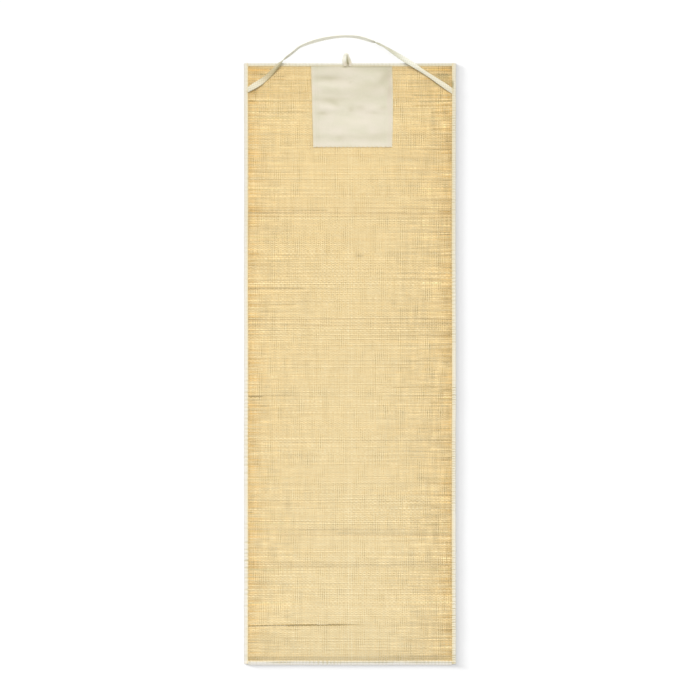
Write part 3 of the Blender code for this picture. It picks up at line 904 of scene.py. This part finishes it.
butt = HALF_WIDTH - SIDE_REACH - BUTT_GAP
for tape in (*SIDE_TAPES, *END_TAPES):
    low, high = (FOOT_EDGE, HEAD_EDGE) if tape in SIDE_TAPES else (-butt, butt)
    cloth, stitches, flat = sew_tape(tape, low, high)
    for piece in (cloth, stitches):
        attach(piece, "root")
        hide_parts(f"edge_tape_{tape.name}")

# The pocket: a patch of plain cotton canvas laid on the straw at the head end, sewn down along its
# left, right and foot sides. Its left hem is doubled, the right side is turned in, and the loose
# cloth between the seams lies in low soft folds.
POCKET_LEFT = -0.1073
POCKET_RIGHT = 0.1218
POCKET_DEPTH = 0.2287
POCKET_MOUTH = HEAD_EDGE - HEAD_REACH - EDGE_WANDER - 0.0003
POCKET_FOOT = HEAD_EDGE - HEAD_REACH - POCKET_DEPTH
POCKET_CLOTH = 0.0008
POCKET_OFF_STRAW = 0.0006
POCKET_STEP = 0.0026
SEWN_MARGIN = 0.015
POCKET_SEAM = 0.0026
HEM_WIDTH = 0.017
HEM_RISE = 0.0006
TURNED_IN = 0.021
TURNED_RISE = 0.0004
HEM_STITCHES = 0.0096
FOOT_TURNED_IN = 0.009
RIPPLE_STEP = 0.0125
POCKET_WEAVE = 0.0009
POCKET_TONE = (0.733, 0.674, 0.555)
POCKET_SOIL = (0.66, 0.63, 0.48)
TURNED_TONE = (0.7, 0.625, 0.52)
# Soft folds as bells: their middle, their reach along and off their line, their height and turn.
Fold = namedtuple(
    "Fold", "across_mm below_mm half_length_mm half_width_mm height_mm turn_deg", defaults=(0,)
)
POCKET_FOLDS = table(
    Fold,
    (-52, 26, 60, 13, 1.6, 2),
    (35, 30, 55, 14, 0.9, -4),
    (88, 44, 34, 11, 1.7, 48),
    (-40, 72, 75, 14, 1.5, -3),
    (62, 82, 60, 15, 1.1, 3),
    (-62, 126, 42, 9, 1.3, -5),
    (10, 112, 50, 13, 0.9, 8),
    (76, 130, 45, 10, 1, -3),
    (-8, 188, 80, 22, 0.6, 4),
)
POCKET_WRINKLES = table(
    Fold,
    (-60, 37, 34, 8, -0.36, -3),
    (-66, 84, 30, 5, -0.2, -2),
    (-25, 106, 18, 10, -0.26, -35),
    (-74, 143, 17, 6, -0.34, 4),
    (6, 126, 7, 6, -0.2, 60),
    (68, 141, 24, 3.6, -0.2, -3),
    (104, 38, 17, 12, -0.4, 50),
    (82, 206, 32, 10, -0.22, 14),
    (72, 20, 46, 3, -0.2, -2),
    (2, 55, 6, 3, -0.24, 30),
    (-11, 9, 7, 3.6, -1.1),
    (-20, 172, 30, 6, 0.14, 30),
    (-62, 62, 40, 9, 0.2, -4),
    (-70, 118, 24, 8, 0.2, 3),
    (60, 100, 30, 6, 0.14, 12),
)
# Painted shade on the canvas (above 0) and painted light (below 0), mostly along its folds, in per cent.
POCKET_PAINTED_SHADING = table(
    Fold,
    (-60, 42, 46, 8.5, 18, -2),
    (-62, 82, 40, 8, 3),
    (-60, 103, 42, 8, 12),
    (-44, 113, 17, 8, 9, -24),
    (20, 92, 95, 18, 5),
    (-60, 126, 42, 6, -5, -6),
    (-79, 142, 17, 6, 16, -3),
    (3, 131, 9, 9, 11),
    (94, 127, 14, 8, 8),
    (65, 141, 25, 4.5, 6, -3),
    (100, 41, 24, 16, 14, 35),
    (85, 206, 34, 13, 6, 12),
    (-28, 212, 12, 8, 6),
    (-92, 208, 10, 6, 6),
    (0, 208, 130, 10, 3),
    (60, 12, 70, 13, 13, -1),
    (108, 24, 20, 24, 8),
    (62, 66, 46, 14, 10),
    (30, 127, 14, 8, 9),
    (112, 78, 14, 20, 11),
    (-66, 10, 60, 13, 9),
    (-11, 9, 7, 4, 22),
    (2, 55, 6, 3, 8, 30),
    (-62, 62, 38, 7, -4, -4),
    (-10, 165, 60, 22, -4),
    (60, 165, 60, 20, -3),
    (-10, 194, 95, 6, -3),
    (10, 211, 80, 6, 2),
    (30, 228, 110, 6, -3),
)


def fold_heights(folds, x, y):
    """Height (or painted shading) that a table of soft folds adds at each place."""
    height = np.zeros_like(x)
    for fold in folds:
        right = x - fold.across_mm * MM
        up = y - HEAD_EDGE + fold.below_mm * MM
        turn = math.radians(fold.turn_deg)
        along = (right * math.cos(turn) + up * math.sin(turn)) / (fold.half_length_mm * MM)
        off = (up * math.cos(turn) - right * math.sin(turn)) / (fold.half_width_mm * MM)
        height += fold.height_mm * MM * np.exp(-(along**2) - off**2)
    return height


def pocket_height(x, y):
    """Middle of the pocket's cloth: on the straw, with its folds, hem, turned side and seams."""
    from_left = x - POCKET_LEFT
    from_right = POCKET_RIGHT - x
    from_foot = y - POCKET_FOOT
    sewn = np.minimum(np.minimum(from_left, from_right), from_foot)
    height = panel_middle(x, y) + panel_thickness(x, y) / 2 + POCKET_OFF_STRAW
    height += fold_heights((*POCKET_FOLDS, *POCKET_WRINKLES), x, y) * ease(sewn / SEWN_MARGIN)
    height += HEM_RISE * (1 - ease((from_left - HEM_WIDTH) / 0.0015))
    height -= 0.0003 * bell(from_left, HEM_STITCHES, 0.0012)
    height += TURNED_RISE * (1 - ease((from_right - TURNED_IN) / 0.002))
    height += TURNED_RISE * (1 - ease((from_foot - FOOT_TURNED_IN) / 0.002))
    height = height - 0.0004 * bell(sewn, POCKET_SEAM, 0.0011) - 0.0005 * (1 - ease(sewn / 0.0014))
    return height + 0.0003 * np.sin(2 * math.pi * (x + y) / RIPPLE_STEP) * bell(sewn, 0, 0.006)


def pocket_place(x, y):
    """Where a point of the squared-up pocket lies: its left side slants, its right side bows out."""
    down = (POCKET_MOUTH - y) / (POCKET_MOUTH - POCKET_FOOT)
    share = (x - POCKET_LEFT) / (POCKET_RIGHT - POCKET_LEFT)
    left_shift = -0.0026 + 0.0058 * down
    right_shift = -0.0026 + 0.0024 * np.sin(math.pi * down)
    scallop = 0.0008 * np.sin(2 * math.pi * x / RIPPLE_STEP + 1.5 * np.sin(31 * x)) * (down > 0.98)
    return x + left_shift * (1 - share) + right_shift * share, y + scallop


width, depth = POCKET_RIGHT - POCKET_LEFT, POCKET_MOUTH - POCKET_FOOT
columns, rows = round(width / POCKET_STEP), round(depth / POCKET_STEP)
canvas, column, row = cloth_grid("pocket_canvas", columns, rows, (width, depth))
x = POCKET_LEFT + width * column / columns
y = POCKET_FOOT + depth * row / rows
move_points(canvas, np.stack([*pocket_place(x, y), pocket_height(x, y)], axis=-1))
# Painted shade along the hem's stitch line and folded edge, and in the folds of the table above.
hem_line_shade = bell(x, POCKET_LEFT + HEM_STITCHES, 0.0013) + bell(x, POCKET_LEFT + HEM_WIDTH, 0.0015)
grime_and_painted_shading = 0.02 + 10 * fold_heights(POCKET_PAINTED_SHADING, x, y) + 0.05 * hem_line_shade
# Painted shadow of the head tape across the pocket's mouth, stronger to the right.
grime_and_painted_shading += (1 - ease((POCKET_MOUTH - y) / 0.005)) * (0.05 + 0.15 * ease((x + 0.03) / 0.02))
# Painted light along the foot edge.
grime_and_painted_shading -= 0.07 * bell(y, POCKET_FOOT + 0.002, 0.0028)
number_points(canvas, "grime_and_painted_shading", grime_and_painted_shading)
from_right = POCKET_RIGHT - x
turned = ease((0.015 + 0.0015 * drift(y, 0.018) - from_right) / 0.0025)
turned *= ease((from_right - POCKET_SEAM) / 0.002)
number_points(canvas, "stain", turned * (0.45 + 0.4 * bell(y, HEAD_EDGE - 0.09, 0.04)))
canvas_finish = cotton_finish(
    "pocket_canvas", POCKET_TONE, POCKET_SOIL, TURNED_TONE, POCKET_WEAVE, (16, 34, 1), 0.8
)
thicken(canvas, POCKET_CLOTH, canvas_finish)

left, right = POCKET_LEFT + POCKET_SEAM, POCKET_RIGHT - POCKET_SEAM
foot = POCKET_FOOT + POCKET_SEAM
corners = np.array([(left, POCKET_MOUTH), (left, foot), (right, foot), (right, POCKET_MOUTH)])
runs = np.hypot(*np.diff(corners, axis=0).T)
counts = [int(run / STITCH_STEP) for run in runs]
pocket_stitches, length, aside, up = stitch_line("pocket_stitches", sum(counts))
places = []
for start, end, run, count in zip(corners, corners[1:], runs, counts):
    way = (end - start) / run
    along = (np.arange(count)[:, None] + 0.5) * run / count + length
    x = start[0] + way[0] * along - way[1] * aside * STITCH_HALF
    y = start[1] + way[1] * along + way[0] * aside * STITCH_HALF
    z = pocket_height(x, y) + POCKET_CLOTH / 2 + (0.4 + up) * STITCH_HALF
    places.append(np.stack([*pocket_place(x, y), z], axis=-1).reshape(-1, 3))
move_points(pocket_stitches, np.concatenate(places))
for piece in (canvas, pocket_stitches):
    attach(piece, "root")
    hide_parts("pocket")

# The carry strap: one length of soft cotton webbing, its ends sewn in under the side tapes. It lies
# flat on the straw at its ends, turns on to its edge on the way out, and arches past the head edge.
STRAP_CLOTH = 0.0013
STRAP_STEP = 0.0025
STRAP_SPANS = 8
STRAP_TONE = (0.79, 0.782, 0.68)
STRAP_SOIL = (0.7, 0.685, 0.56)
# The stain's yellow-brown, which also stands for painted shade where the strap turns on to its edge.
STRAP_STAIN_AND_SHADE = (0.54, 0.43, 0.21)
STRAP_HELD_AT = 0.2935
# Painted shade along the inner edge where the strap lies flat.
INNER_RIM_SHADE = 0.22
RIM_FROM = 0.7
STRAP_CUP = 0.0006
STRAP_WEAVE = 0.0036
# Cross sections along a tape: its middle and how far beyond the head edge, its lean from standing on its
# edge to lying flat at 90 degrees, its width and foot height, its stain with painted shade mixed in, and
# its painted shading over all and at its inner edge: shade above 0, light below 0.
Section = namedtuple(
    "Section", "across_mm beyond_mm lean_deg width_mm base_mm stain dull inner_dull", defaults=(0,)
)
STRAP_SECTIONS = table(
    Section,
    (-293.4, -77.6, 90, 13.5, 3.3, 0.42, -0.12),
    (-285.5, -73.4, 86, 14, 3.4, 0.42, -0.1, -0.04),
    (-273.3, -66, 77, 16.6, 3.4, 0.42, -0.14),
    (-253.5, -53.8, 82, 16.4, 3.3, 0.5, -0.1, -0.03),
    (-234.2, -38.6, 89, 13, 3.3, 0.76, -0.02, -0.06),
    (-218.7, -23.4, 80, 12.8, 3.7, 0.82, 0, 0.12),
    (-206, -9.3, 60, 12, 4.4, 0.62, 0.04, 0.26),
    (-195.4, 1.6, 26, 13.6, 4.6, 0.3, 0.14, 0.14),
    (-185.3, 11.1, -6, 15, 3.4, 0.1, 0.04, 0.1),
    (-162.2, 29.4, -18, 15, 0.8, 0.06, -0.05),
    (-140.5, 46.6, -19, 15, 0.1, 0.04, -0.12),
    (-128.9, 52, -22, 15, 0.1, 0.06, -0.22),
    (-96.3, 63, -30, 15, 0.1, 0.06, -0.25),
    (-56.6, 71.8, -25, 15, 0.1, 0.06, -0.25),
    (-11.3, 75.9, -19, 15, 0.1, 0.06, -0.24),
    (19.8, 73.8, -26, 15, 0.1, 0.04, -0.24),
    (45.3, 67.4, -28, 15, 0.1, 0.04, -0.28),
    (60, 62.4, -22, 15, 0.1, 0.04, -0.1),
    (67.3, 60.2, -14, 15, 0.1, 0.04, 0.15),
    (71.6, 58.6, 2, 15, 0.1, 0.04, 0.5),
    (75.8, 56.8, 16, 15, 0.1, 0.04, 0.38),
    (94.3, 48, 21, 15, 0.2, 0.04, 0.25),
    (106.5, 40.8, 29, 15, 0.4, 0.04, 0.22),
    (114, 36, 37, 15, 0.5, 0.04, 0.24),
    (138.8, 19.9, 54, 16.4, 2.6, 0.02, 0.09, 0.08),
    (160, 6.4, 66, 15.8, 4.5, 0.03, -0.07, 0.12),
    (184.1, -8.7, 76, 13.2, 4.5, 0.14, -0.09, 0.08),
    (203, -21.2, 83, 10.8, 4, 0.28, -0.13, 0.16),
    (223.7, -34.2, 85, 10.8, 3.7, 0.32, -0.12, 0.04),
    (257.7, -57.2, 84, 13.8, 3.6, 0.36, -0.14, 0.05),
    (275.5, -69.4, 85, 14.8, 3.6, 0.4, -0.16, 0.06),
    (286, -76.8, 90, 14, 3.4, 0.42, -0.15, 0.06),
    (293.4, -81.8, 90, 13.5, 3.3, 0.45, -0.13, 0.06),
)


def smooth_rows(sections, step):
    """The table's columns read every step along a smooth line through its rows."""
    rows = np.array(sections, float)
    knots = np.append(0, np.cumsum(np.hypot(*np.diff(rows[:, :2], axis=0).T)))
    slopes = np.gradient(rows, knots, axis=0)
    where = np.linspace(0, knots[-1], round(knots[-1] * MM / step) + 1)
    left = np.clip(np.searchsorted(knots, where, side="right") - 1, 0, len(rows) - 2)
    span = (knots[left + 1] - knots[left])[:, None]
    part = (where - knots[left])[:, None] / span
    start = rows[left] * (1 + 2 * part) * (1 - part) ** 2 + slopes[left] * span * part * (1 - part) ** 2
    end = rows[left + 1] * part**2 * (3 - 2 * part) + slopes[left + 1] * span * part**2 * (part - 1)
    return start + end


def run_tape(name, sections, step, spans, thickness, farthest, cup, finish):
    """A tape that follows its sections, turning from its flat on to its edge, a little cupped."""
    rows = smooth_rows(sections, step)
    middle = rows[:, :2] * MM + (0, HEAD_EDGE)
    length = float(np.hypot(*np.diff(middle, axis=0).T).sum())
    width = float(rows[:, 3].mean() * MM)
    tape, column, row = cloth_grid(name, spans, len(rows) - 1, (width, length))
    along = np.gradient(middle, axis=0)
    along /= np.hypot(*along.T)[:, None]
    inward = np.column_stack([along[:, 1], -along[:, 0]])[row]
    lean_deg, width_mm, base_mm, stain, dull, inner_painted_shading = rows[row, 2:].T
    lean = np.radians(lean_deg)
    half = width_mm * MM / 2
    share = 2 * column / spans - 1
    bend = cup * (1 - share**2)
    aside = share * half * np.sin(lean) - bend * np.cos(lean)
    x, y = (middle[row] + inward * aside[:, None]).T
    z = base_mm * MM + thickness / 2 * np.abs(np.sin(lean))
    z = z + (share + 1) * half * np.cos(lean) + bend * np.sin(np.abs(lean))
    move_points(tape, np.stack([np.clip(x, -farthest, farthest), y, z], axis=-1))
    # The stain also paints shade; dull, the inner edge's value and the rim paint shade above 0 and light
    # below 0.
    number_points(tape, "stain", stain.clip(0, 1))
    rim_shade = INNER_RIM_SHADE * ease((share - RIM_FROM) / 0.25) * ease((lean_deg - 50) / 20)
    number_points(tape, "grime_and_painted_shading", dull + inner_painted_shading * ease((share + 0.1) / 0.6) + rim_shade)
    thicken(tape, thickness, finish)
    return tape, (width, length)


webbing = cotton_finish(
    "strap_webbing", STRAP_TONE, STRAP_SOIL, STRAP_STAIN_AND_SHADE, STRAP_WEAVE, (90, 30, 1), 0.4, 0.8
)
strap, strap_flat = run_tape(
    "carry_webbing", STRAP_SECTIONS, STRAP_STEP, STRAP_SPANS, STRAP_CLOTH, STRAP_HELD_AT, STRAP_CUP, webbing
)
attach(strap, "root")
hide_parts("carry_strap")

# The hang loop: a short end of narrow cotton tape, folded over and sewn in under the head tape at
# the middle of the mat. Its left leg lies open, its right leg stands on edge and bulges at the foot.
LOOP_CLOTH = 0.001
LOOP_STEP = 0.0014
LOOP_SPANS = 6
LOOP_TONE = (0.82, 0.8, 0.7)
LOOP_SOIL = (0.7, 0.68, 0.54)
LOOP_TAN = (0.68, 0.57, 0.44)
LOOP_CUP = 0.0002
LOOP_WEAVE = 0.0007
# The loop's stain and dull values paint the shade at its feet, on its right leg and in the slot between its
# legs.
LOOP_SECTIONS = table(
    Section,
    (-10.2, -7.6, 90, 12, 4.9, 0.6, 0.12, 0.16),
    (-13, -1, 88, 13, 4.9, 0.55, 0.1, 0.16),
    (-15.6, 5, 74, 13, 3.6, 0.2, 0.04, 0.04),
    (-15.4, 12, 64, 12.2, 2.2, 0, -0.04),
    (-14.4, 19.6, 58, 11, 1.6, 0, -0.02),
    (-11.4, 25.4, 40, 9.4, 1.2, 0, 0.06, 0.06),
    (-8, 24.8, 40, 9, 1.2, 0.1, 0.08, 0.14),
    (-6.2, 19, 60, 9, 1.2, 0.15, 0.14, 0.26),
    (-5.2, 12.5, 74, 10.4, 1.9, 0.25, 0.24, 0.26),
    (-3.2, 5.5, 78, 12, 3.2, 0.35, 0.27, 0.28),
    (-1.4, 0.3, 82, 12, 5, 0.55, 0.1, 0.42),
    (-1, -3.6, 88, 10, 5.4, 0.55, 0.08, 0.36),
    (-2.6, -7.9, 90, 10, 5.4, 0.55, 0, 0.3),
)
loop_cotton = cotton_finish("loop_tape", LOOP_TONE, LOOP_SOIL, LOOP_TAN, LOOP_WEAVE, (120, 40, 1), 0.4)
loop, loop_flat = run_tape(
    "hang_tape", LOOP_SECTIONS, LOOP_STEP, LOOP_SPANS, LOOP_CLOTH, HALF_WIDTH, LOOP_CUP, loop_cotton
)
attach(loop, "root")
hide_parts("hang_loop")
for piece in (strap, loop):
    throws_none.objects.link(piece)
for link in throws_none.collection_objects:
    link.light_linking.link_state = "EXCLUDE"
